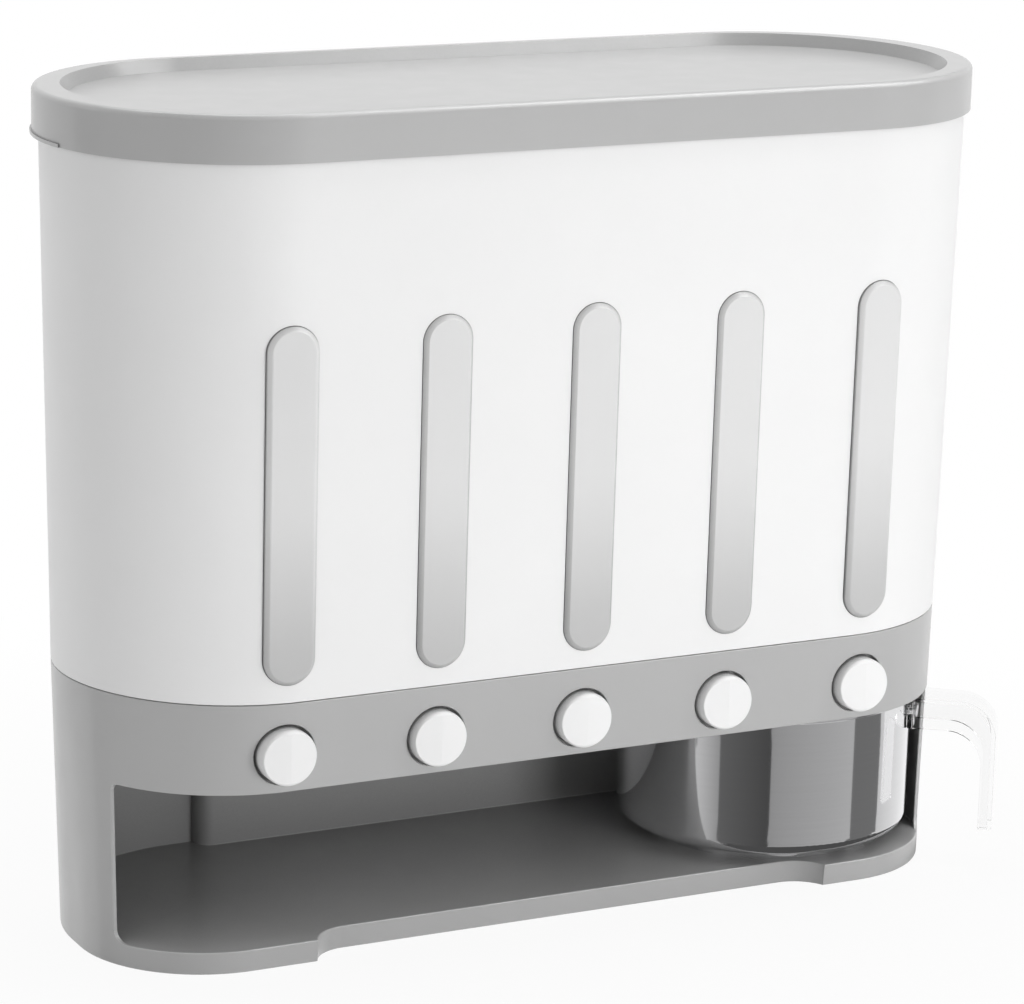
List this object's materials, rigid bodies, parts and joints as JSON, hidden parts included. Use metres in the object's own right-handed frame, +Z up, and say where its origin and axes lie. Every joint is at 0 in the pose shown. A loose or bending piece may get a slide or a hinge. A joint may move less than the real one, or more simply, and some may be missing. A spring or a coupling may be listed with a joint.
{
  "type": "wall-mounted dry food dispenser",
  "caption": "Wall-mounted dry food dispenser: windowed hopper compartments on a grey base with sprung push-button gates, a lift-off lid and a steel cup with a clear handle in the bay.",
  "frame": {"origin": "middle of the underside, where the two centre ribs of the tray cross", "axes": "+Z up, +X to the right as seen from the front, front faces -Y"},
  "size_m": [0.3995, 0.152, 0.332],
  "materials": {
    "grey_plastic": "satin moulded",
    "white_plastic": "satin moulded",
    "window_plastic": "frosted",
    "gate_plastic": "natural",
    "seal_rubber": "soft silicone",
    "fastener_steel": "zinc plated",
    "spring_steel": "bright wire",
    "cup_steel": "polished",
    "clear_plastic": "clear"
  },
  "bodies": {
    "dispenser": {"hopper_shell": "white_plastic", "window_1": "window_plastic", "window_2": "window_plastic", "window_3": "window_plastic", "window_4": "window_plastic", "window_5": "window_plastic", "divider_1": "white_plastic", "divider_2": "white_plastic", "divider_3": "white_plastic", "divider_4": "white_plastic", "funnel_deck": "white_plastic", "base_housing": "grey_plastic", "chute_plate_1": "grey_plastic", "chute_plate_2": "grey_plastic", "chute_plate_3": "grey_plastic", "chute_plate_4": "grey_plastic", "chute_plate_5": "grey_plastic", "guide_1": "grey_plastic", "guide_2": "grey_plastic", "guide_3": "grey_plastic", "guide_4": "grey_plastic", "guide_5": "grey_plastic", "deck_screws": "fastener_steel", "chute_screws": "fastener_steel", "spring_1": "spring_steel", "spring_2": "spring_steel", "spring_3": "spring_steel", "spring_4": "spring_steel", "spring_5": "spring_steel"},
    "lid": {"lid": "grey_plastic", "lid_seal": "seal_rubber"},
    "cup": {"cup_body": "cup_steel", "cup_handle": "clear_plastic", "cup_rivets": "fastener_steel"},
    "dispense_1": {"button_1": "white_plastic", "gate_1": "gate_plastic"},
    "dispense_2": {"button_2": "white_plastic", "gate_2": "gate_plastic"},
    "dispense_3": {"button_3": "white_plastic", "gate_3": "gate_plastic"},
    "dispense_4": {"button_4": "white_plastic", "gate_4": "gate_plastic"},
    "dispense_5": {"button_5": "white_plastic", "gate_5": "gate_plastic"}
  },
  "joints": [
    {"name": "lid_lift", "type": "slide", "parent": "dispenser", "child": "lid", "axis": [0, 0, 1], "range_m": [0, 0.06]},
    {"name": "cup_pull", "type": "slide", "parent": "dispenser", "child": "cup", "axis": [-0.3007, -0.9537, 0], "range_m": [0, 0.15]},
    {"name": "button_1_push", "type": "slide", "parent": "dispenser", "child": "dispense_1", "axis": [0, 1, 0], "range_m": [0, 0.011], "stiffness_N_per_m": 300, "springref_m": -0.008, "deforming": ["spring_1"]},
    {"name": "button_2_push", "type": "slide", "parent": "dispenser", "child": "dispense_2", "axis": [0, 1, 0], "range_m": [0, 0.011], "stiffness_N_per_m": 300, "springref_m": -0.008, "deforming": ["spring_2"]},
    {"name": "button_3_push", "type": "slide", "parent": "dispenser", "child": "dispense_3", "axis": [0, 1, 0], "range_m": [0, 0.011], "stiffness_N_per_m": 300, "springref_m": -0.008, "deforming": ["spring_3"]},
    {"name": "button_4_push", "type": "slide", "parent": "dispenser", "child": "dispense_4", "axis": [0, 1, 0], "range_m": [0, 0.011], "stiffness_N_per_m": 300, "springref_m": -0.008, "deforming": ["spring_4"]},
    {"name": "button_5_push", "type": "slide", "parent": "dispenser", "child": "dispense_5", "axis": [0, 1, 0], "range_m": [0, 0.011], "stiffness_N_per_m": 300, "springref_m": -0.008, "deforming": ["spring_5"]}
  ]
}
